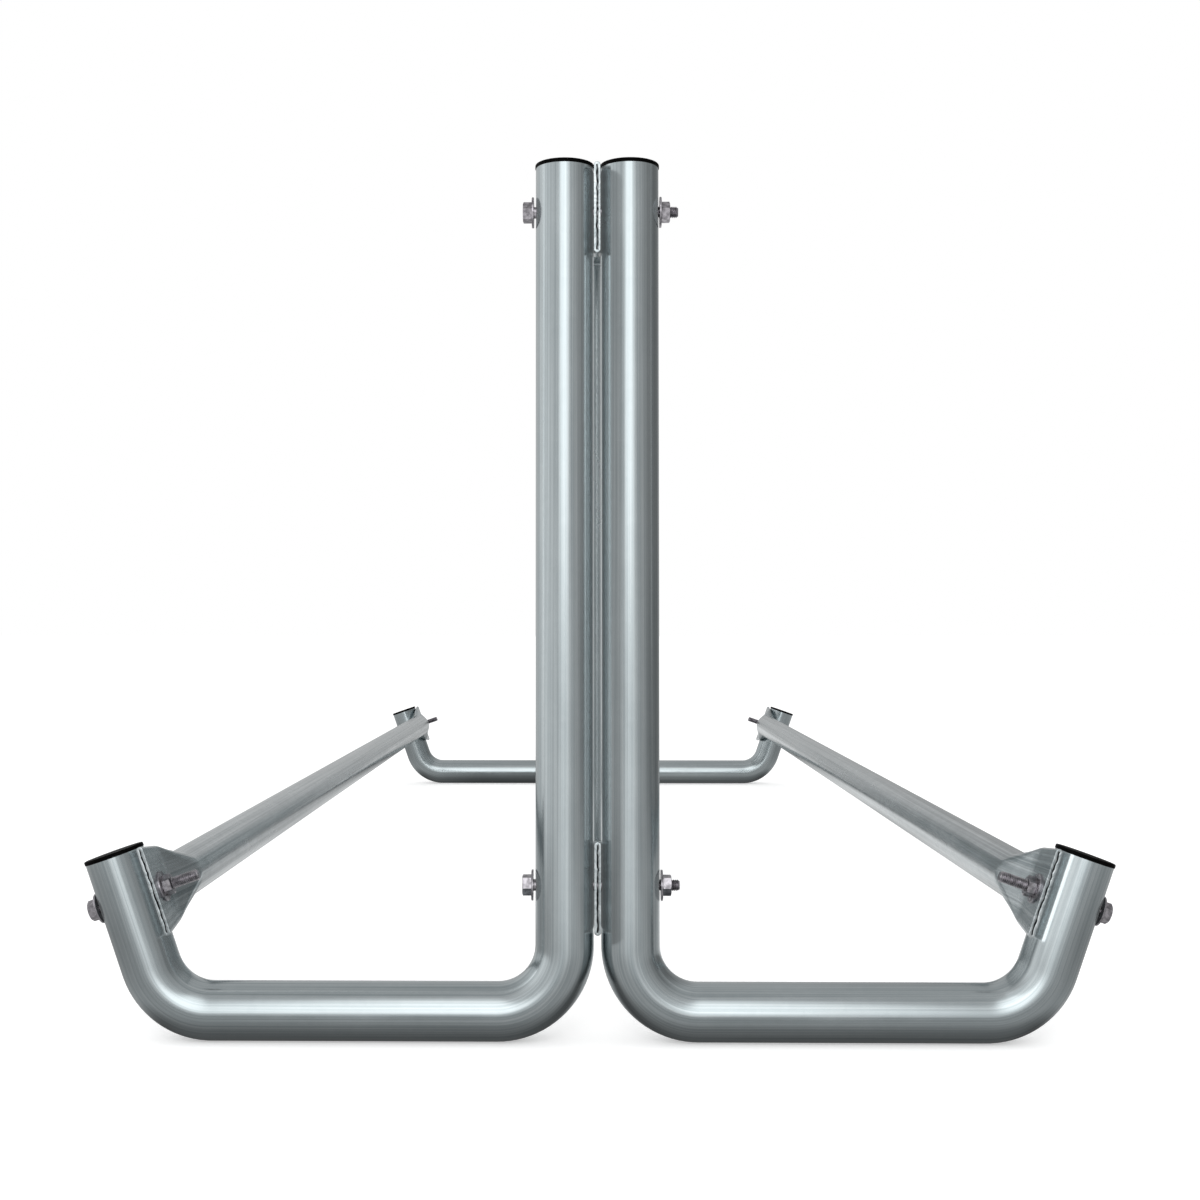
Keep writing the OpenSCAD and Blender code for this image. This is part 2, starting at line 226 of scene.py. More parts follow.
level = mixed(tree, inside, level, stepped(tree, split["X"], *between_turn, *floor_between))
# Painted shade round the feet, seen only in the metal
shade = math_node(tree, "ADD", *[stepped(tree, from_foot, *step) for step in floor_shades])
# A painted pool of the big light on the floor a little off the feet, also seen only in the metal
spill = product(tree, key, floor_key, stepped(tree, from_foot, *spill_at, 0.0, 1.0))
painted_floor_reflection = white_light(tree, math_node(tree, "MULTIPLY_ADD", level, shade, spill))
paint = add(tree, "ShaderNodeBsdfDiffuse", {}, {"Color": linear("#F4F4F4")}).outputs[0]
glow = white_light(tree, product(tree, path["Is Camera Ray"], floor_lift))
both = add(tree, "ShaderNodeAddShader", {}, {0: paint, 1: glow}).outputs[0]
surface = add(tree, "ShaderNodeMixShader", {}, {0: path["Is Glossy Ray"], 1: both, 2: painted_floor_reflection}).outputs[0]
tree.links.new(surface, out.inputs["Surface"])
half = floor_side/2
floor = mesh_object("floor", [(-half, -half, 0), (half, -half, 0), (half, half, 0), (-half, half, 0)],
                    [(0, 1, 2, 3)], floor_paint_and_painted_shade)

# The tent is a big ball of cloth. Its light falls off overhead, and the big soft light
# and the strips stand on it.
ceiling, key_level = 0.62, 1.42
# Degrees up from the tent's middle: where the ceiling begins, and the foot and head of
# the big light
ceiling_at, key_foot, key_head = (22.0, 62.0), (-5.0, 6.0), (33.0, 70.0)
strips, strip_width = [(-91, 0.95), (93, 0.30)], 4.5
tent_sides, tent_rings, tent_middle = 96, 48, (0, -foot_line_y, 0.35)
tent_cloth, tree, out = new_material("tent_white_and_grey_cloth")
split = add(tree, "ShaderNodeSeparateXYZ", {}, {0: object_place(tree)}).outputs
walls, key, turn = cloth_light(tree, split["X"], product(tree, split["Y"], -1.0))
rise = math_node(tree, "ARCSINE", math_node(tree, "DIVIDE", split["Z"], tent_radius))
rise = product(tree, rise, degrees(1))
walls = mixed(tree, stepped(tree, rise, *ceiling_at, 0.0, 1.0), walls, ceiling)
key_up = product(tree, stepped(tree, rise, *key_foot, 0.0, 1.0),
                 stepped(tree, rise, *key_head, 1.0, 0.0))
total = math_node(tree, "MULTIPLY_ADD", product(tree, key, key_up), key_level, walls)
for at, value in strips:
    from_strip = math_node(tree, "ABSOLUTE", math_node(tree, "SUBTRACT", turn, at))
    total = math_node(tree, "ADD", total, stepped(tree, from_strip, 0.0, strip_width, value, 0.0))
tree.links.new(white_light(tree, total), out.inputs["Surface"])
ball = bmesh.new()
bmesh.ops.create_uvsphere(ball, u_segments=tent_sides, v_segments=tent_rings, radius=tent_radius)
tent = mesh_object("tent", [], [], tent_cloth)
ball.to_mesh(tent.data)
ball.free()
tent.location = tent_middle
tent.visible_camera = tent.visible_diffuse = tent.visible_shadow = False

# Small glowing cards paint light and shade into the metal where it mirrors itself: painted light
# from white ones beside the clamped flats, under the washers, before the bars and left of the right outer
# post, and painted shade from a grey one between the posts. The camera doesn't see them, and each shows from
# one side only.
# Levels of the painted light from the white cards
wedge_light, washer_light, side_light, bar_light = 0.13, 0.26, 0.42, 0.22
outer_wedge_light, outer_strip_light, outer_washer_light = {-1: 0.16, 1: 0.24}, 1.5, 0.13
# The grey card's painted shade: its light, the share it hides and the fade of that, then its reach along and
# up
grey_level, grey_share, grey_fade = 0.12, 0.55, 62*mm
grey_from, grey_to, grey_low, grey_high = 65*mm, 1*mm, 0.08, 0.72
side_x, side_from, side_to, side_low, side_high = 0.24, -1.48, -1.135, 0.10, 0.5
bar_card_half, bar_card_behind, strip_depth = 48*mm, 30*mm, 5*mm
disc_r, disc_steps, disc_off = 12.5*mm, 24, 0.5*mm
skin_gap, rim_gap = 0.05*mm, 0.1*mm
# Sizes of the rack that the cards fit
pipe_od, outer_lean = 48.3*mm, radians(19.2)
flat_width, flat_thick = 76*mm, 5.6*mm
upright = Vector((0, 0, 1))


def card(name, points, level, share=0.0, fades_over=0.0):
    """A card of painted light seen only in the metal, from the side that its points run round
    anticlockwise. Its light adds to what is behind, and its share hides some of that as painted shade,
    less and less over fades_over in front of its rear edge."""
    # Its material paints light, and shade where it hides, into the metal's reflections
    cloth, tree, out = new_material(name + "_cloth")
    back = add(tree, "ShaderNodeNewGeometry", {}, {}).outputs["Backfacing"]
    clear = add(tree, "ShaderNodeBsdfTransparent", {}, {}).outputs[0]
    glow = white_light(tree, level)
    if share:
        ahead = add(tree, "ShaderNodeSeparateXYZ", {}, {0: object_place(tree)}).outputs["Y"]
        rear = max(point[1] for point in points)
        hides = stepped(tree, ahead, rear - fades_over, rear, 0.0, share)
        seen = add(tree, "ShaderNodeMixShader", {}, {0: hides, 1: clear, 2: glow}).outputs[0]
    else:
        seen = add(tree, "ShaderNodeAddShader", {}, {0: clear, 1: glow}).outputs[0]
    surface = add(tree, "ShaderNodeMixShader", {}, {0: back, 1: seen, 2: clear}).outputs[0]
    tree.links.new(surface, out.inputs["Surface"])
    made = mesh_object(name, points, [tuple(range(len(points)))], cloth)
    made.visible_camera = made.visible_diffuse = made.visible_shadow = False


def panel(x, z, upwards, half, start, stop):
    """Corners of a card along Y, from start to stop, that reaches half up and down."""
    reaches = ((start, -half), (stop, -half), (stop, half), (start, half))
    return [Vector((x, y, z)) + upwards*rise for y, rise in reaches]


def disc(middle, upwards, side):
    """Points round a disc along Y that shows from this side."""
    turns = [-side*2*pi*step/disc_steps for step in range(disc_steps)]
    return [middle + (Vector((0, cos(turn), 0)) + upwards*sin(turn))*disc_r for turn in turns]


def leaning(lean):
    """The directions across and up something that leans this far to the right."""
    return Vector((cos(lean), 0, -sin(lean))), Vector((sin(lean), 0, cos(lean)))


flat_low, flat_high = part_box("top_grid_rail")
low_flat_low, low_flat_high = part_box("bottom_grid_rail")
leg_low, leg_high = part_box("front_right_leg")
rail_heights = [(flat_low.z + flat_high.z)/2, (low_flat_low.z + low_flat_high.z)/2]
low, high = low_flat_low.z, flat_high.z
# Painted light beside the clamped flats and under the washers, on both sides
for side, side_name in ((-1, "left"), (1, "right")):
    wedge = panel(side*(leg_low.x + skin_gap), (low + high)/2, upright, (high - low)/2,
                  flat_low.y + rim_gap, -foot_line_y)
    card("wedge_card_" + side_name, wedge[::side], wedge_light)
    for number, z in enumerate(rail_heights):
        seat = Vector((side*(leg_low.x + pipe_od + disc_off), -foot_line_y, z))
        card("washer_card_%s_%d" % (side_name, number), disc(seat, upright, side), washer_light)
# The grey card paints shade between the posts into the metal
grey = panel(0, (grey_low + grey_high)/2, upright, (grey_high - grey_low)/2,
             flat_low.y - grey_from, flat_low.y - grey_to)
card("grey_card", grey, grey_level, grey_share, grey_fade)
# Painted light left of the right outer post
beside = panel(side_x, (side_low + side_high)/2, upright, (side_high - side_low)/2, side_from, side_to)
card("side_card", beside, side_light)
# Painted light before the bars
half, y = bar_card_half, bar_card_behind - foot_line_y
card("bar_card", [(half, y, low), (-half, y, low), (-half, y, high), (half, y, high)], bar_light)
# Painted light beside the wheel rails' flats, under their washers, and in a bright strip on the right
for side, node in ((-1, "left_wheel_rail"), (1, "right_wheel_rail")):
    rail_low, rail_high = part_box(node)
    front = rail_low.y + rim_gap
    middle = Vector(((rail_low.x + rail_high.x)/2, 0, (rail_low.z + rail_high.z)/2))
    across, upwards = leaning(side*outer_lean)
    outwards = across*side
    face = middle + outwards*(flat_thick/2 + skin_gap)
    wedge = panel(face.x, face.z, upwards, flat_width/2, front, -foot_line_y)
    card("outer_wedge_card_" + node, wedge[::side], outer_wedge_light[side])
    seat = middle + outwards*(flat_thick/2 + pipe_od + skin_gap) + Vector((0, -foot_line_y, 0))
    card("outer_washer_card_" + node, disc(seat, upwards, side), outer_washer_light)
    if side > 0:
        strip = panel(face.x, face.z, upwards, flat_width/2, front - strip_depth, front)
        card("outer_strip_card", strip, outer_strip_light)

# A soft light over the camera throws the rack's faint shadow and lights the plastic. The
# metal mirrors the tent's own light in its place.
key_place, key_aim, key_size, key_watts = (-0.3, -4.5, 2.4), (0, 0, 0.3), 2.0, 40
lamp = placed("key_softbox", bpy.data.lights.new("key_softbox", "AREA"))
lamp.data.shape, lamp.data.size, lamp.data.energy = "SQUARE", key_size, key_watts
lamp.location = key_place
lamp.rotation_euler = (Vector(key_aim) - Vector(key_place)).to_track_quat("-Z", "Y").to_euler()
lamp.visible_glossy = False

# The legs are round steel pipe, bent cold twice and galvanised: a centre post, a foot
# that lies on the ground and a short outer post that leans outwards. Each is open at
# both ends and drilled through for the bolts.
pipe_wall, bend_radius = 3.7*mm, 55*mm
foot_reach, outer_post, wheel_rail_at, drilled_d = 355.8*mm, 134*mm, 97*mm, 10.7*mm
pipe_r = pipe_od/2
post_x = leg_low.x + pipe_r
post_top = leg_high.z
frame_y = -(leg_low.y + leg_high.y)/2
foot_bend = Vector((foot_reach, 0, pipe_r))
across_outer, up_outer = leaning(outer_lean)
outer_top, rail_bolt_at = foot_bend + up_outer*outer_post, foot_bend + up_outer*wheel_rail_at
fillet_steps, ring_points, ring_spacing, hole_steps = 60, 80, 4*mm, 40
# How much lines, bands, patches and spangle lighten the zinc, and what takes their mean off
line_weight, band_weight, cloud_weight, spangle_weight = 1.1, 0.7, 2.0, 0.25
line_mean, cloud_mean = 0.9, 1.12
cloud_range, shinier, duller = (0.3, 0.7), 0.04, 0.05


def tinted(tree, share, dark, light):
    """A colour between two hex colours."""
    return add(tree, "ShaderNodeMix", {"data_type": "RGBA"},
               {"Factor": share, 6: linear(dark), 7: linear(light)}).outputs[2]


def galvanised(name, coordinates, mottle, roughness, dark="#9CA5A7", light="#B7BEC0"):
    """Hot-dip galvanised steel: a satin zinc coat, cool grey, with drawing lines along
    the pipe, cloudy patches and a faint spangle. Coordinates run round and along."""
    made, tree, out = new_material(name)
    if coordinates == "Object":
        place = object_place(tree)
    else:
        place = add(tree, "ShaderNodeAttribute", {"attribute_name": coordinates}, {}).outputs["Vector"]

    def scaled(around_mm, along_mm):
        """The place, counted in these lengths round and along the pipe."""
        size = (1/(around_mm*mm), 1/(around_mm*mm), 1/(along_mm*mm))
        return add(tree, "ShaderNodeMapping", {}, {"Vector": place, "Scale": size}).outputs[0]

    def pattern(around_mm, along_mm, detail):
        """Noise whose features measure about this much round and along the pipe."""
        inputs = {"Vector": scaled(around_mm, along_mm), "Scale": 1.0, "Detail": detail, "Roughness": 0.55}
        return add(tree, "ShaderNodeTexNoise", {}, inputs).outputs["Fac"]

    lines = pattern(1.6, 420, 2)        # drawing lines left by the pipe mill
    bands = pattern(4.5, 700, 1)        # broader bands beside them
    clouds = pattern(26, 90, 4)         # patches where the zinc cooled unevenly
    grain = pattern(1.1, 1.4, 2)        # dull grain, drawn coarser than the real one
    cells = scaled(7, 7)                # flakes of spangle
    spangle = add(tree, "ShaderNodeTexVoronoi", {"feature": "SMOOTH_F1"},
                  {"Vector": cells, "Scale": 1.0, "Smoothness": 0.3})
    flakes = add(tree, "ShaderNodeSeparateColor", {}, {0: spangle.outputs["Color"]}).outputs[0]

    total = -line_mean
    for part, weight in ((lines, line_weight), (bands, band_weight),
                         (clouds, cloud_weight*mottle), (flakes, spangle_weight*mottle)):
        total = math_node(tree, "MULTIPLY_ADD", part, weight, total)
    share = add(tree, "ShaderNodeMath", {"operation": "ADD", "use_clamp": True},
                {0: total, 1: 0.5 - cloud_mean*mottle}).outputs[0]
    satin = add(tree, "ShaderNodeMapRange", {},
                {"Value": clouds, "From Min": cloud_range[0], "From Max": cloud_range[1],
                 "To Min": roughness - shinier, "To Max": roughness + duller}).outputs[0]
    waves = math_node(tree, "MULTIPLY_ADD", grain, 0.02, lines)
    ridges = add(tree, "ShaderNodeBump", {}, {"Height": waves, "Strength": 0.2, "Distance": 0.012*mm})
    dents = add(tree, "ShaderNodeBump", {},
                {"Height": clouds, "Strength": min(1.0, 0.2 + mottle), "Distance": 0.6*mottle*mm,
                 "Normal": ridges.outputs[0]}).outputs[0]
    steel = add(tree, "ShaderNodeBsdfPrincipled", {},
                {"Base Color": tinted(tree, share, dark, light), "Roughness": satin, "Metallic": 1.0,
                 "Normal": dents})
    tree.links.new(steel.outputs[0], out.inputs["Surface"])
    return made


def node_group(name, output, **inputs):
    """A Geometry Nodes group, and the sockets of its inputs, which are given as kinds."""
    group = bpy.data.node_groups.new(name, "GeometryNodeTree")
    for key, kind in inputs.items():
        label = key.replace("_", " ").capitalize()
        group.interface.new_socket(label, in_out="INPUT", socket_type="NodeSocket" + kind)
    group.interface.new_socket(output, in_out="OUTPUT", socket_type="NodeSocketGeometry")
    return group, add(group, "NodeGroupInput", {}, {}).outputs


def finish_group(group, geometry, material):
    """Ends a group with real geometry of one material."""
    real = add(group, "GeometryNodeRealizeInstances", {}, {"Geometry": geometry}).outputs[0]
    dressed = add(group, "GeometryNodeSetMaterial", {}, {"Geometry": real, "Material": material}).outputs[0]
    add(group, "NodeGroupOutput", {}, {0: dressed})
    return group


def run_group(obj, group, **values):
    """Runs a group on an object. Its inputs are found by name, through their identifiers."""
    modifier = obj.modifiers.new(group.name, "NODES")
    modifier.node_group = group
    sockets = {s.name: s.identifier for s in group.interface.items_tree if s.in_out == "INPUT"}
    for key, value in values.items():
        modifier[sockets[key.replace("_", " ").capitalize()]] = value


leg_steel = galvanised("galvanised_steel_leg_pipe", "pipe", 0.18, 0.2, "#8F999C", "#C1C8CA")

tree, asked = node_group("bent_pipe", "Pipe", centreline="Geometry", bend_radius="Float",
                         pipe_radius="Float", ring_spacing="Float", steel="Material")
rounded = add(tree, "GeometryNodeFilletCurve", {"mode": "POLY"},
              {"Curve": asked["Centreline"], "Radius": asked["Bend radius"], "Limit Radius": True,
               "Count": fillet_steps})
resampled = add(tree, "GeometryNodeResampleCurve", {"mode": "LENGTH"},
                {"Curve": rounded.outputs[0], "Length": asked["Ring spacing"]})
run = add(tree, "GeometryNodeSplineParameter", {}, {}).outputs
along = add(tree, "GeometryNodeCaptureAttribute", {"domain": "POINT"}, {"Geometry": resampled.outputs[0]})
along.capture_items.new("FLOAT", "Along")
tree.links.new(run["Length"], along.inputs[1])
ring = add(tree, "GeometryNodeCurvePrimitiveCircle", {"mode": "RADIUS"},
           {"Resolution": ring_points, "Radius": asked["Pipe radius"]})
around = add(tree, "GeometryNodeCaptureAttribute", {"domain": "POINT"}, {"Geometry": ring.outputs[0]})
around.capture_items.new("FLOAT", "Around")
tree.links.new(run["Factor"], around.inputs[1])
skin = add(tree, "GeometryNodeCurveToMesh", {},
           {"Curve": along.outputs[0], "Profile Curve": around.outputs[0], "Fill Caps": False})
angle = product(tree, around.outputs[1], 2*pi)
across, beside = [product(tree, math_node(tree, kind, angle), asked["Pipe radius"])
                  for kind in ("COSINE", "SINE")]
rolled = add(tree, "ShaderNodeCombineXYZ", {}, {"X": across, "Y": beside, "Z": along.outputs[1]})
marked = add(tree, "GeometryNodeStoreNamedAttribute", {"data_type": "FLOAT_VECTOR", "domain": "POINT"},
             {"Geometry": skin.outputs[0], "Name": "pipe", "Value": rolled.outputs[0]})
bent_pipe = finish_group(tree, marked.outputs[0], asked["Steel"])


def applied(obj):
    """Turns an object and its modifiers into one plain mesh object of the same name."""
    bpy.context.view_layer.update()
    graph = bpy.context.evaluated_depsgraph_get()
    solid = bpy.data.meshes.new_from_object(obj.evaluated_get(graph), preserve_all_data_layers=True,
                                            depsgraph=graph)
    name = obj.name
    bpy.data.objects.remove(obj)
    solid.name = name
    return placed(name, solid)


def drill(obj, holes):
    """Cuts round holes through an object. A hole is its centre, direction, diameter and
    length. The cut loses the pipe coordinates, so each point takes its old neighbour's."""
    obj = applied(obj)
    neighbours = kdtree.KDTree(len(obj.data.vertices))
    for point in obj.data.vertices:
        neighbours.insert(point.co, point.index)
    neighbours.balance()
    pipe = [Vector(mark.vector) for mark in obj.data.attributes["pipe"].data]
    bits = bmesh.new()
    for centre, direction, diameter, length in holes:
        turn = Vector(direction).to_track_quat("Z", "Y").to_matrix().to_4x4()
        bmesh.ops.create_cone(bits, cap_ends=True, segments=hole_steps, radius1=diameter/2,
                              radius2=diameter/2, depth=length, matrix=Matrix.Translation(centre) @ turn)
    cutter = placed("bits", bpy.data.meshes.new("bits"))
    bits.to_mesh(cutter.data)
    bits.free()
    cut = obj.modifiers.new("holes", "BOOLEAN")
    cut.operation, cut.solver, cut.object = "DIFFERENCE", "EXACT", cutter
    made = applied(obj)
    bpy.data.objects.remove(cutter)
    marks = [value for point in made.data.vertices for value in pipe[neighbours.find(point.co)[1]]]
    made.data.attributes["pipe"].data.foreach_set("vector", marks)
    return made


def finish_piece(obj, slot, *nodes, edge_angle=40):
    """Smooths a piece except at its edges, puts it on the body and in place of its nodes."""
    obj.data.polygons.foreach_set("use_smooth", [True]*len(obj.data.polygons))
    obj.data.set_sharp_from_angle(angle=radians(edge_angle))
    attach(obj, "root")
    if nodes:
        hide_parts(*nodes)
    return obj


corners = [(end, side, end_name + side_name) for end, end_name in ((-1, "front"), (1, "rear"))
           for side, side_name in ((-1, "_left"), (1, "_right"))]
for end, side, corner_name in corners:
    node = corner_name + "_leg"
    line = bpy.data.curves.new(node + "_pipe", "CURVE")
    line.dimensions = "3D"
    spline = line.splines.new("POLY")
    turns = [Vector((post_x, 0, post_top)), Vector((post_x, 0, pipe_r)), foot_bend, outer_top]
    spline.points.add(len(turns) - 1)
    for point, turn in zip(spline.points, turns):
        point.co = (side*turn.x, end*frame_y, turn.z, 1)
    leg = placed(node + "_pipe", line)
    run_group(leg, bent_pipe, bend_radius=bend_radius, pipe_radius=pipe_r,
              ring_spacing=ring_spacing, steel=leg_steel)
    leg = applied(leg)
    wall = leg.modifiers.new("wall", "SOLIDIFY")
    wall.thickness, wall.offset, wall.use_even_offset = pipe_wall, -1, False
    across_post = Vector((cos(outer_lean)*side, 0, -sin(outer_lean)))
    holes = [((side*post_x, end*frame_y, z), (1, 0, 0), drilled_d, 2*pipe_od) for z in rail_heights]
    at_bolt = (side*rail_bolt_at.x, end*frame_y, rail_bolt_at.z)
    leg = drill(leg, holes + [(at_bolt, across_post, drilled_d, 2*pipe_od)])
    finish_piece(leg, "galvanised_steel", node)

# The rails are round pipe. Each end is pressed flat in a die, cropped and drilled, and
# the faces ramp steeply up to the round pipe behind. The cropped end faces keep a bright
# rim round a crooked slit, and zinc has run and pooled on the pressed faces.
rail_od, rail_wall, flat_slit = 42.2*mm, 3.6*mm, 0.9*mm
flat_front, flat_back, flare_len, stretch_share = 19.5*mm, 22*mm, 34*mm, 0.73
rim_round, shoulder_round = 0.35*mm, 4*mm
# The pressed face waves. The slit and its walls wander, and run true again behind the rim
press_wave, wave_across, wave_along = 0.1*mm, 9*mm, 22*mm
slit_wander, slit_fade, slit_length, wall_wander, rim_thins = 0.42*mm, 25*mm, 4.5*mm, 0.75, 0.6
# Each rail takes its waves, its slit and its zinc from another stretch of the noise
waves_apart, slits_apart, zinc_apart = 7, 3.1, 3
rail_r = rail_od/2
right_angle = pi/2
rail_steel = galvanised("galvanised_steel_rail_pipe", "pipe", 0.5, 0.24, "#848E91", "#CED4D6")
edge_steps, face_steps, shoulder_steps = 6, 20, 4
quarter_steps = edge_steps + face_steps
# Sections along a rail: round the rim, on the flat, over the flare and on the round pipe
rim_shares, flat_rings, flare_rings, middle_rings = (0, 0.15, 0.45, 1), 17, 38, 5
flat_step, flare_step = 2*mm, 1.2*mm


def section_point(k, half_thick, half_width, edge_share):
    """Point k of a section with two straight faces between two half rounds, and how far
    it lies round the girth as an angle."""
    quarter, step = divmod(k, quarter_steps)
    step = step if quarter % 2 == 0 else quarter_steps - step
    share = edge_share*step/edge_steps
    if step > edge_steps:
        share = edge_share + (1 - edge_share)*(step - edge_steps)/face_steps
    way = share*(half_width + (right_angle - 1)*half_thick)
    if way < right_angle*half_thick:
        bent = way/half_thick
        x, z = half_thick*sin(bent), half_width - half_thick*(1 - cos(bent))
    else:
        x, z = half_thick, half_width - half_thick - (way - right_angle*half_thick)
    side_x, side_z = (1 if quarter < 2 else -1), (1 if quarter in (0, 3) else -1)
    turned = atan2(side_z*cos(share*right_angle), side_x*sin(share*right_angle))
    return side_x*x, side_z*z, turned


def pressed_section(past_bolt):
    """Half the thickness and half the width at this distance past the bolt, with the
    corners of both rounded over a few millimetres, and how far the section has opened."""
    steps = range(-shoulder_steps, shoulder_steps + 1)
    near = [past_bolt + shoulder_round*step/shoulder_steps for step in steps]
    opened = [min(1, max(0, (y - flat_back)/flare_len)) for y in near]
    pressed = stretch_share*(flat_front + flat_back + flare_len)
    stretched = [min(1, max(0, 1 - (y + flat_front)/pressed)) for y in near]
    opened, stretched = sum(opened)/len(near), sum(stretched)/len(near)
    half_thick = flat_thick/2 + (rail_r - flat_thick/2)*opened
    round_girth, flat_girth = right_angle*rail_r, flat_width/2 + (right_angle - 1)*flat_thick/2
    girth = round_girth + (flat_girth - round_girth)*stretched
    return half_thick, girth - (right_angle - 1)*half_thick, right_angle*flat_thick/2/girth, opened


def mark_pipe(obj, pipe):
    """Gives each point of a piece its place round and along the pipe, for the zinc."""
    mark = obj.data.attributes.new("pipe", "FLOAT_VECTOR", "POINT")
    mark.data.foreach_set("vector", [value for point in pipe for value in point])
    return obj


def rail_mesh(name, number, origin, across, upwards):
    """A rail from its outer skin, its bore and the two end faces that join them."""
    ring = 4*quarter_steps
    past_bolt = [-flat_front + share*rim_round for share in rim_shares]
    past_bolt += [-flat_front + flat_step*i for i in range(1, flat_rings + 1)]
    past_bolt += [flat_back - shoulder_round + flare_step*i for i in range(flare_rings)]
    past_bolt += [frame_y*i/(middle_rings + 1) for i in range(1, middle_rings + 1)]
    stations = [(y, -frame_y + y) for y in past_bolt] + [(frame_y, 0.0)]
    stations += [(y, frame_y - y) for y in reversed(past_bolt)]
    points, pipe = [], []
    for skin in ("outer", "bore"):
        for past, along in stations:
            end = -1 if along < 0 else 1
            half_thick, half_width, edge_share, opened = pressed_section(past)
            from_rim = min(1, (past + flat_front)/rim_round)
            inset = rim_round*(1 - sqrt(1 - (1 - from_rim)**2))
            deep = max(0, 1 - (past + flat_front)/slit_fade)
            wall = (flat_thick - flat_slit)/2*(1 - opened) + rail_wall*opened - rim_thins*inset
            for k in range(ring):
                if skin == "outer":
                    x, z, turned = section_point(k, half_thick - inset, half_width - inset, edge_share)
                    place = Vector((x/wave_along, z/wave_across, along/wave_along + number*waves_apart))
                    swell = press_wave*noise.noise(place)*(1 - opened)*from_rim
                    x += swell*(1 if x > 0 else -1)
                else:
                    x, z, turned = section_point(k, half_thick - wall, half_width - wall, edge_share)
                    spot = Vector((z/slit_length, number*slits_apart + end, 0.4*k/ring))
                    wander = slit_wander*noise.noise(spot + Vector((0, 9, 0)))*2
                    x = x*(1 + wall_wander*deep*noise.noise(spot*1.7)) + wander*deep*(1 - opened)
                points.append(origin + across*x + Vector((0, along, 0)) + upwards*z)
                pipe.append((rail_r*cos(turned), rail_r*sin(turned), along + zinc_apart*number))
    last = (len(stations) - 1)*ring
    bore = len(stations)*ring
    faces = []
    for k in range(ring):
        n = (k + 1) % ring
        for row in range(0, last, ring):
            faces.append((row + k, row + n, row + ring + n, row + ring + k))
            faces.append((bore + row + k, bore + row + ring + k, bore + row + ring + n, bore + row + n))
        faces.append((k, bore + k, bore + n, n))
        faces.append((last + k, last + n, bore + last + n, bore + last + k))
    return mark_pipe(mesh_object(name, points, faces, rail_steel), pipe)


at_rail = rail_bolt_at - across_outer*post_x
rails = [("top_grid_rail", Vector((0, 0, rail_heights[0])), 0),
         ("bottom_grid_rail", Vector((0, 0, rail_heights[1])), 0),
         ("left_wheel_rail", Vector((-at_rail.x, 0, at_rail.z)), -1), ("right_wheel_rail", at_rail, 1)]
for number, (node, origin, side) in enumerate(rails):
    across, upwards = leaning(side*outer_lean)
    rail = rail_mesh(node + "_pipe", number, origin, across, upwards)
    holes = [(origin + Vector((0, end*frame_y, 0)), across, drilled_d, pipe_od) for end in (-1, 1)]
    rail = drill(rail, holes)
    finish_piece(rail, "galvanised_steel", node)

# The upright bars are lighter pipe. Both ends are coped to the round of the rails, and
# they are welded between them before the whole grid is dipped in zinc.
bar_od, bar_wall, bar_count = 26.7*mm, 2.9*mm, 19
cope_gap, bar_zinc_apart, bar_steps = 0.05*mm, 1.7, 56
bar_r = bar_od/2
bar_low, bar_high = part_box("grid_bar_01")
first_bar = (bar_low.y + bar_high.y)/2
bar_pitch = -2*first_bar/(bar_count - 1)
bar_steel = galvanised("galvanised_steel_bar_pipe", "pipe", 0.4, 0.24)
rings = 4
for number in range(bar_count):
    node = "grid_bar_%02d" % (number + 1)
    middle = Vector((0, first_bar + number*bar_pitch, 0))
    points, pipe, faces = [], [], []
    for radius, ends in ((bar_r, (0, 1)), (bar_r - bar_wall, (1, 0))):
        for end in ends:
            for k in range(bar_steps):
                turned = 2*pi*k/bar_steps
                across, along = radius*cos(turned), radius*sin(turned)
                saddle = sqrt((rail_r + cope_gap)**2 - across**2)
                z = rail_heights[1] + saddle if end == 0 else rail_heights[0] - saddle
                points.append(middle + Vector((across, along, z)))
                pipe.append((across, along, z + bar_zinc_apart*number))
    for row in range(rings):
        for k in range(bar_steps):
            n, after = (k + 1) % bar_steps, (row + 1) % rings
            faces.append((row*bar_steps + k, row*bar_steps + n, after*bar_steps + n, after*bar_steps + k))
    bar = mark_pipe(mesh_object(node + "_pipe", points, faces, bar_steel), pipe)
    finish_piece(bar, "galvanised_steel", node)

# A weld bead runs round the saddle where each bar meets a rail. It was laid in short
# overlapping puddles, which show as ripples under the zinc.
bead_r, bead_out, ripple_count, ripple_depth = 2.1*mm, 0.7*mm, 26, 0.16
saddle_steps, bead_steps = 156, 12
weld_steel = galvanised("galvanised_steel_weld_beads", "Object", 0.6, 0.32)
tree, asked = node_group("bead_row", "Beads", line="Geometry", bar_radius="Float", rail_radius="Float",
                         bead_radius="Float", ripples="Float", half_turn="Vector", steel="Material")
loop = add(tree, "GeometryNodeCurvePrimitiveCircle", {"mode": "RADIUS"},
           {"Resolution": saddle_steps, "Radius": asked["Bar radius"]}).outputs[0]
spot = add(tree, "GeometryNodeInputPosition", {}, {}).outputs[0]
across = add(tree, "ShaderNodeSeparateXYZ", {}, {0: spot}).outputs["X"]
squares = [math_node(tree, "POWER", value, 2.0) for value in (asked["Rail radius"], across)]
saddle = math_node(tree, "SQRT", math_node(tree, "SUBTRACT", *squares))
lifted = add(tree, "ShaderNodeCombineXYZ", {}, {"Z": saddle}).outputs[0]
loop = add(tree, "GeometryNodeSetPosition", {}, {"Geometry": loop, "Offset": lifted}).outputs[0]
share = add(tree, "GeometryNodeSplineParameter", {}, {}).outputs["Factor"]
ripple = product(tree, share, asked["Ripples"], pi)
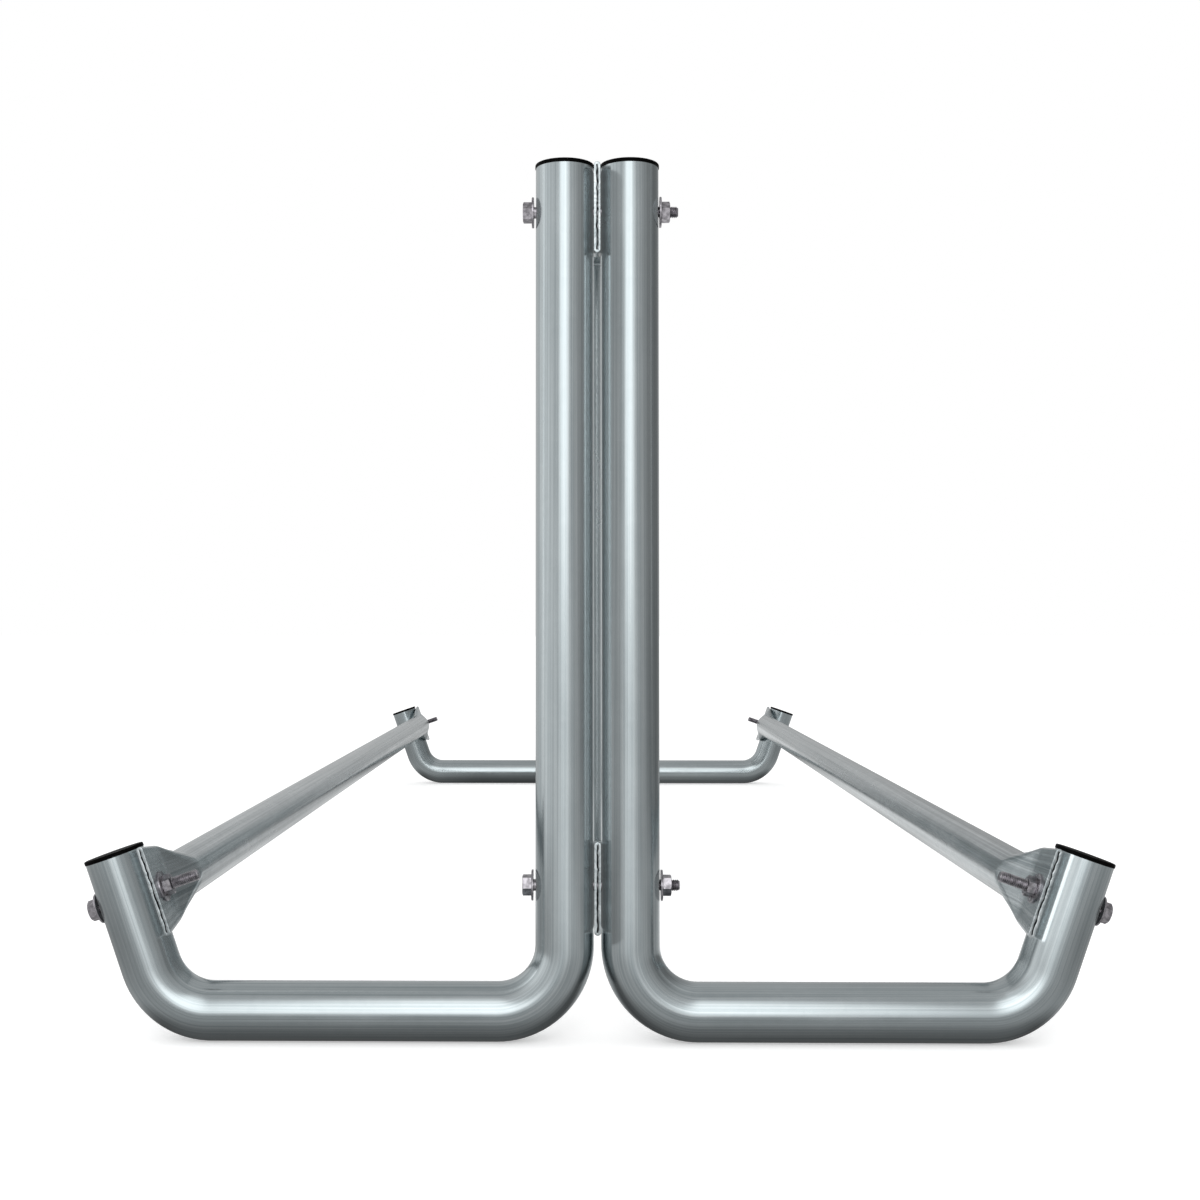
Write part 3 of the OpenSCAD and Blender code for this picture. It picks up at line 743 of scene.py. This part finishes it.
ripple = math_node(tree, "ABSOLUTE", math_node(tree, "SINE", ripple))
ripple = math_node(tree, "MULTIPLY_ADD", ripple, ripple_depth, 1 - ripple_depth)
loop = add(tree, "GeometryNodeSetCurveRadius", {}, {"Curve": loop, "Radius": ripple}).outputs[0]
round_bead = add(tree, "GeometryNodeCurvePrimitiveCircle", {"mode": "RADIUS"},
                 {"Resolution": bead_steps, "Radius": asked["Bead radius"]}).outputs[0]
bead = add(tree, "GeometryNodeCurveToMesh", {}, {"Curve": loop, "Profile Curve": round_bead}).outputs[0]
laid = add(tree, "GeometryNodeInstanceOnPoints", {},
           {"Points": asked["Line"], "Instance": bead, "Rotation": asked["Half turn"]}).outputs[0]
bead_row = finish_group(tree, laid, asked["Steel"])
for node, height, half_turn in (("top_weld_beads", rail_heights[0], pi),
                                ("bottom_weld_beads", rail_heights[1], 0.0)):
    places = [(0, first_bar + number*bar_pitch, height) for number in range(bar_count)]
    row = mesh_object(node + "_laid", places, [], weld_steel)
    run_group(row, bead_row, bar_radius=bar_r + bead_out, rail_radius=rail_r + bead_out, bead_radius=bead_r,
              ripples=float(ripple_count), half_turn=(half_turn, 0.0, 0.0), steel=weld_steel)
    finish_piece(applied(row), "galvanised_steel", node)

# The open pipe ends are shut by caps of black moulded polyethylene. Each has a flat
# flange that lies on the pipe's end and a ribbed plug that was knocked into the bore.
cap_flange, cap_overhang, cap_depth, cap_wall = 3.4*mm, 0.5*mm, 22*mm, 1.8*mm
cap_rib, cap_play, cap_ribs, cap_round, cap_edge = 1.6*mm, 0.15*mm, 4, 1.2*mm, 0.15*mm
# A rib's outline: how far up, as a share of the ribs' pitch, and how far out
rib_outline = [(0.3, 0), (0.28, 1), (0.16, 1), (-0.3, 0)]
round_steps, flange_steps = 96, 6


def revolve(name, rows, steps, matrix, material, closed=False):
    """A mesh from rows that give radius and height at each angle, turned round its Z axis.
    A row that is one number is a height on the axis, and closes the mesh there."""
    points, faces, last = [], [], None
    for row in rows:
        start = len(points)
        if isinstance(row, float):
            points.append(Vector((0, 0, row)))
        else:
            for k in range(steps):
                turned = 2*pi*k/steps
                radius, height = row(turned)
                points.append(Vector((radius*cos(turned), radius*sin(turned), height)))
        if last is not None:
            for k in range(steps):
                n = (k + 1) % steps
                if isinstance(row, float):
                    faces.append((last + k, last + n, start))
                elif start - last == 1:
                    faces.append((last, start + n, start + k))
                else:
                    faces.append((last + k, last + n, start + n, start + k))
        last = start
    if closed:
        faces += [(last + k, last + (k + 1) % steps, (k + 1) % steps, k) for k in range(steps)]
    made = mesh_object(name, [matrix @ point for point in points], faces, material)
    shell = bmesh.new()
    shell.from_mesh(made.data)
    bmesh.ops.recalc_face_normals(shell, faces=shell.faces)
    shell.to_mesh(made.data)
    shell.free()
    return made


def speckle(tree, place, size_mm, detail):
    """Noise with features of about this size."""
    inputs = {"Vector": place, "Scale": 1/(size_mm*mm), "Detail": detail}
    return add(tree, "ShaderNodeTexNoise", {}, inputs).outputs["Fac"]


def moulded_plastic(name):
    """Black polyethylene from a mould: matt, with a fine erosion grain and a few scuffs."""
    made, tree, out = new_material(name)
    place = object_place(tree)
    grain = speckle(tree, place, 0.7, 2)        # grain that the eroded mould leaves
    scuffs = speckle(tree, place, 9, 5)         # scuffs from handling
    shade = tinted(tree, stepped(tree, scuffs, 0.45, 0.75, 0.0, 1.0), "#010101", "#050505")
    rough = stepped(tree, scuffs, 0.35, 0.7, 0.62, 0.48)
    bump = add(tree, "ShaderNodeBump", {}, {"Height": grain, "Strength": 0.35, "Distance": 0.05*mm})
    plastic = add(tree, "ShaderNodeBsdfPrincipled", {},
                  {"Base Color": shade, "Roughness": rough, "IOR": 1.5, "Specular IOR Level": 0.04,
                   "Normal": bump.outputs[0]})
    tree.links.new(plastic.outputs[0], out.inputs["Surface"])
    return made


def ring_row(radius, height):
    """A row of revolve that is a plain circle."""
    return lambda turned: (radius, height)


cap_plastic = moulded_plastic("black_moulded_polyethylene")
plug_r = pipe_r - pipe_wall - cap_play - cap_rib
flange_r = pipe_r + cap_overhang
rib_pitch = cap_depth/cap_ribs
cap_rows = [cap_flange]
for step in range(flange_steps + 1):
    bent = right_angle*(1 - step/flange_steps)
    cap_rows.append(ring_row(flange_r - cap_round*(1 - cos(bent)),
                             cap_flange - cap_round*(1 - sin(bent))))
cap_rows += [ring_row(flange_r, cap_edge), ring_row(flange_r - cap_edge, 0), ring_row(plug_r, 0)]
for rib in range(cap_ribs):
    middle = -rib_pitch*(rib + 0.5)
    cap_rows += [ring_row(plug_r + stands*cap_rib, middle + up*rib_pitch) for up, stands in rib_outline]
cap_rows += [ring_row(plug_r, -cap_depth), ring_row(plug_r - cap_wall, -cap_depth),
             ring_row(plug_r - cap_wall, 0), 0.0]
for end, side, corner_name in corners:
    post_end = Vector((side*post_x, end*frame_y, post_top))
    outer_end = Vector((side*outer_top.x, end*frame_y, outer_top.z))
    for kind, place, tilt in (("post", post_end, 0.0), ("outer", outer_end, side*outer_lean)):
        matrix = Matrix.Translation(place) @ Matrix.Rotation(tilt, 4, "Y")
        node = "_".join((corner_name, kind, "cap"))
        cap = revolve(node + "_moulded", cap_rows, round_steps, matrix, cap_plastic)
        finish_piece(cap, "black_plastic", node)

# The bolts, nuts and washers are steel with a thin bright zinc plating. Heads were
# forged, the threads rolled, and the washers stamped, which rounds one of their edges.
bolt_d, hex_flats, head_height, nut_height = 9.5*mm, 15.2*mm, 7.5*mm, 7.1*mm
washer_od, washer_thick, washer_round = 25.4*mm, 1.6*mm, 0.35*mm
washer_edge, washer_hole_edge = 0.1*mm, 0.2*mm
thread_pitch, thread_depth, rows_per_turn, flank_slope = 1.59*mm, 0.8*mm, 10, 2.2
tip_chamfer, tip_edge, hex_face_share, hex_slope = 1.0*mm, 0.2*mm, 0.97, tan(radians(22))
nut_play, sink_wide, sink_deep = 0.1*mm, 0.5*mm, 0.4*mm
hex_steps, plate_edge_angle = 48, 20
face_r = hex_face_share*hex_flats/2


def zinc_plate(name):
    """Bright zinc plating on steel: smooth neutral grey, with cloudy dull patches."""
    made, tree, out = new_material(name)
    place = object_place(tree)
    clouds = speckle(tree, place, 4, 4)         # dull clouds in the plating
    grain = speckle(tree, place, 0.6, 2)        # grain of the forged steel under it
    shade = tinted(tree, stepped(tree, clouds, 0.35, 0.65, 0.0, 1.0), "#7A787C", "#A9A6AB")
    rough = stepped(tree, clouds, 0.3, 0.7, 0.3, 0.2)
    bump = add(tree, "ShaderNodeBump", {}, {"Height": grain, "Strength": 0.4, "Distance": 0.04*mm}).outputs[0]
    plate = add(tree, "ShaderNodeBsdfPrincipled", {},
                {"Base Color": shade, "Roughness": rough, "Metallic": 1.0, "Normal": bump})
    tree.links.new(plate.outputs[0], out.inputs["Surface"])
    return made


def hex_radius(turned):
    """Distance from the middle of a hex to its side at this angle. Angle 0 is a corner."""
    return hex_flats/2/cos(turned % (pi/3) - pi/6)


def hex_row(height, rise):
    """A row along the top or bottom edge of a hex, where its corners are turned down."""
    def row(turned):
        radius = hex_radius(turned)
        return radius, height - rise*max(0.0, radius - face_r)*hex_slope
    return row


def thread_row(height):
    """A row across a rolled thread, whose crest climbs one pitch in a turn."""
    def row(turned):
        phase = (height/thread_pitch - turned/(2*pi)) % 1
        groove = max(0.0, 1.0 - abs(phase - 0.5)*flank_slope)
        return bolt_d/2 - thread_depth*groove, height
    return row


def bolt_rows(length, threaded):
    """A bolt with the underside of its head at height 0, its head below and its tip above."""
    rows = [-head_height, ring_row(face_r, -head_height), hex_row(-head_height, -1), hex_row(0, 0),
            ring_row(bolt_d/2, 0), ring_row(bolt_d/2, length - threaded)]
    turns = int((threaded - tip_chamfer)/thread_pitch*rows_per_turn)
    rows += [thread_row(length - threaded + thread_pitch*step/rows_per_turn) for step in range(1, turns)]
    rows += [ring_row(bolt_d/2 - thread_depth, length - tip_chamfer),
             ring_row(bolt_d/2 - tip_chamfer - tip_edge, length), float(length)]
    return rows


def hex_nut_rows():
    """A nut from height 0 upwards, turned down at both faces, with a countersunk bore."""
    bore_r = bolt_d/2 + nut_play
    return [ring_row(bore_r, sink_deep), ring_row(bore_r + sink_wide, 0), ring_row(face_r, 0),
            hex_row(0, -1), hex_row(nut_height, 1), ring_row(face_r, nut_height),
            ring_row(bore_r + sink_wide, nut_height), ring_row(bore_r, nut_height - sink_deep)]


def washer_rows():
    """A washer from height 0 upwards. The stamp rounded its upper outer edge."""
    outer_r, hole_r = washer_od/2, drilled_d/2
    rows = [ring_row(hole_r, 0), ring_row(outer_r - washer_edge, 0), ring_row(outer_r, washer_edge)]
    rows += [ring_row(outer_r - washer_round*(1 - cos(bent)),
                      washer_thick - washer_round*(1 - sin(bent)))
             for bent in (0, 0.5, 1.0, right_angle)]
    return rows + [ring_row(hole_r + washer_hole_edge, washer_thick),
                   ring_row(hole_r, washer_thick - washer_hole_edge)]


tree, asked = node_group("set_in_place", "Fasteners", places="Geometry", fastener="Object",
                         plating="Material")
turn = add(tree, "GeometryNodeInputNamedAttribute", {"data_type": "FLOAT_VECTOR"},
           {"Name": "turn"}).outputs[0]
turn = add(tree, "FunctionNodeEulerToRotation", {}, {"Euler": turn}).outputs[0]
one = add(tree, "GeometryNodeObjectInfo", {}, {"Object": asked["Fastener"]}).outputs["Geometry"]
laid = add(tree, "GeometryNodeInstanceOnPoints", {},
           {"Points": asked["Places"], "Instance": one, "Rotation": turn}).outputs[0]
set_in_place = finish_group(tree, laid, asked["Plating"])
plating = zinc_plate("zinc_plated_steel")


def set_fasteners(node, rows, closed, places):
    """Sets one turned piece at every place, which is a point, the direction it looks along
    and how far it was screwed round from having a corner on top."""
    single = revolve("single_" + node, rows, hex_steps if "washer" not in node else round_steps,
                     Matrix.Rotation(pi/2, 4, "Y"), plating, closed)
    group = mesh_object(node + "_plated", [place[0] for place in places], [], plating)
    turns = []
    for point, ahead, screwed in places:
        beside = Vector((0, 1 if ahead.x > 0 else -1, 0))
        faced = Matrix((ahead, beside, ahead.cross(beside))).transposed()
        turns += (faced @ Matrix.Rotation(screwed, 3, "X")).to_euler()
    group.data.attributes.new("turn", "FLOAT_VECTOR", "POINT").data.foreach_set("vector", turns)
    run_group(group, set_in_place, fastener=single, plating=plating)
    group = applied(group)
    bpy.data.objects.remove(single)
    finish_piece(group, "zinc_plated_steel", node, edge_angle=plate_edge_angle)


# Both centre bolts of a frame go through its two posts and the flat between them. Their
# washers stand a little off the posts, because the bolts aren't drawn up.
washer_low, washer_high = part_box("post_washers")
bolt_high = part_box("post_bolts")[1]
to_right, to_left = Vector((1, 0, 0)), Vector((-1, 0, 0))
screwed_round, post_thread = radians(20), 26*mm
post_places = [(Vector((0, end*frame_y, z)), screwed) for end in (-1, 1)
               for z, screwed in zip(rail_heights, (screwed_round, -screwed_round))]
head_at, nut_at = -washer_low.x, washer_high.x
set_fasteners("post_bolts", bolt_rows(bolt_high.x + head_at, post_thread), False,
              [(place + to_left*head_at, to_right, screwed) for place, screwed in post_places])
set_fasteners("post_nuts", hex_nut_rows(), True,
              [(place + to_right*nut_at, to_right, screwed) for place, screwed in post_places])
set_fasteners("post_washers", washer_rows(), True,
              [(place + to_left*(head_at - washer_thick), to_left, 0.0) for place, screwed in post_places] +
              [(place + to_right*(nut_at - washer_thick), to_right, 0.0) for place, screwed in post_places])

# The wheel rails' bolts go through the outer posts from outside. Their nuts sit on the
# inner face of the flats, and a long stretch of thread stands out past them.
seat_gap, rail_bolt_tail, rail_thread = 0.1*mm, 22.7*mm, 38*mm
rail_places = []
for end, side, corner_name in corners:
    inwards = Vector((-side*cos(outer_lean), 0, sin(outer_lean)))
    rail_places.append((Vector((side*rail_bolt_at.x, end*frame_y, rail_bolt_at.z)), inwards))
post_seat = pipe_r + seat_gap
flat_seat = post_x + flat_thick/2
bolt_length = post_seat + washer_thick + flat_seat + washer_thick + nut_height + rail_bolt_tail
set_fasteners("rail_bolts", bolt_rows(bolt_length, rail_thread), False,
              [(place - ahead*(post_seat + washer_thick), ahead, 0.0) for place, ahead in rail_places])
set_fasteners("rail_nuts", hex_nut_rows(), True,
              [(place + ahead*(flat_seat + washer_thick), ahead, 0.0) for place, ahead in rail_places])
set_fasteners("rail_washers", washer_rows(), True,
              [(place - ahead*post_seat, -ahead, 0.0) for place, ahead in rail_places] +
              [(place + ahead*flat_seat, ahead, 0.0) for place, ahead in rail_places])
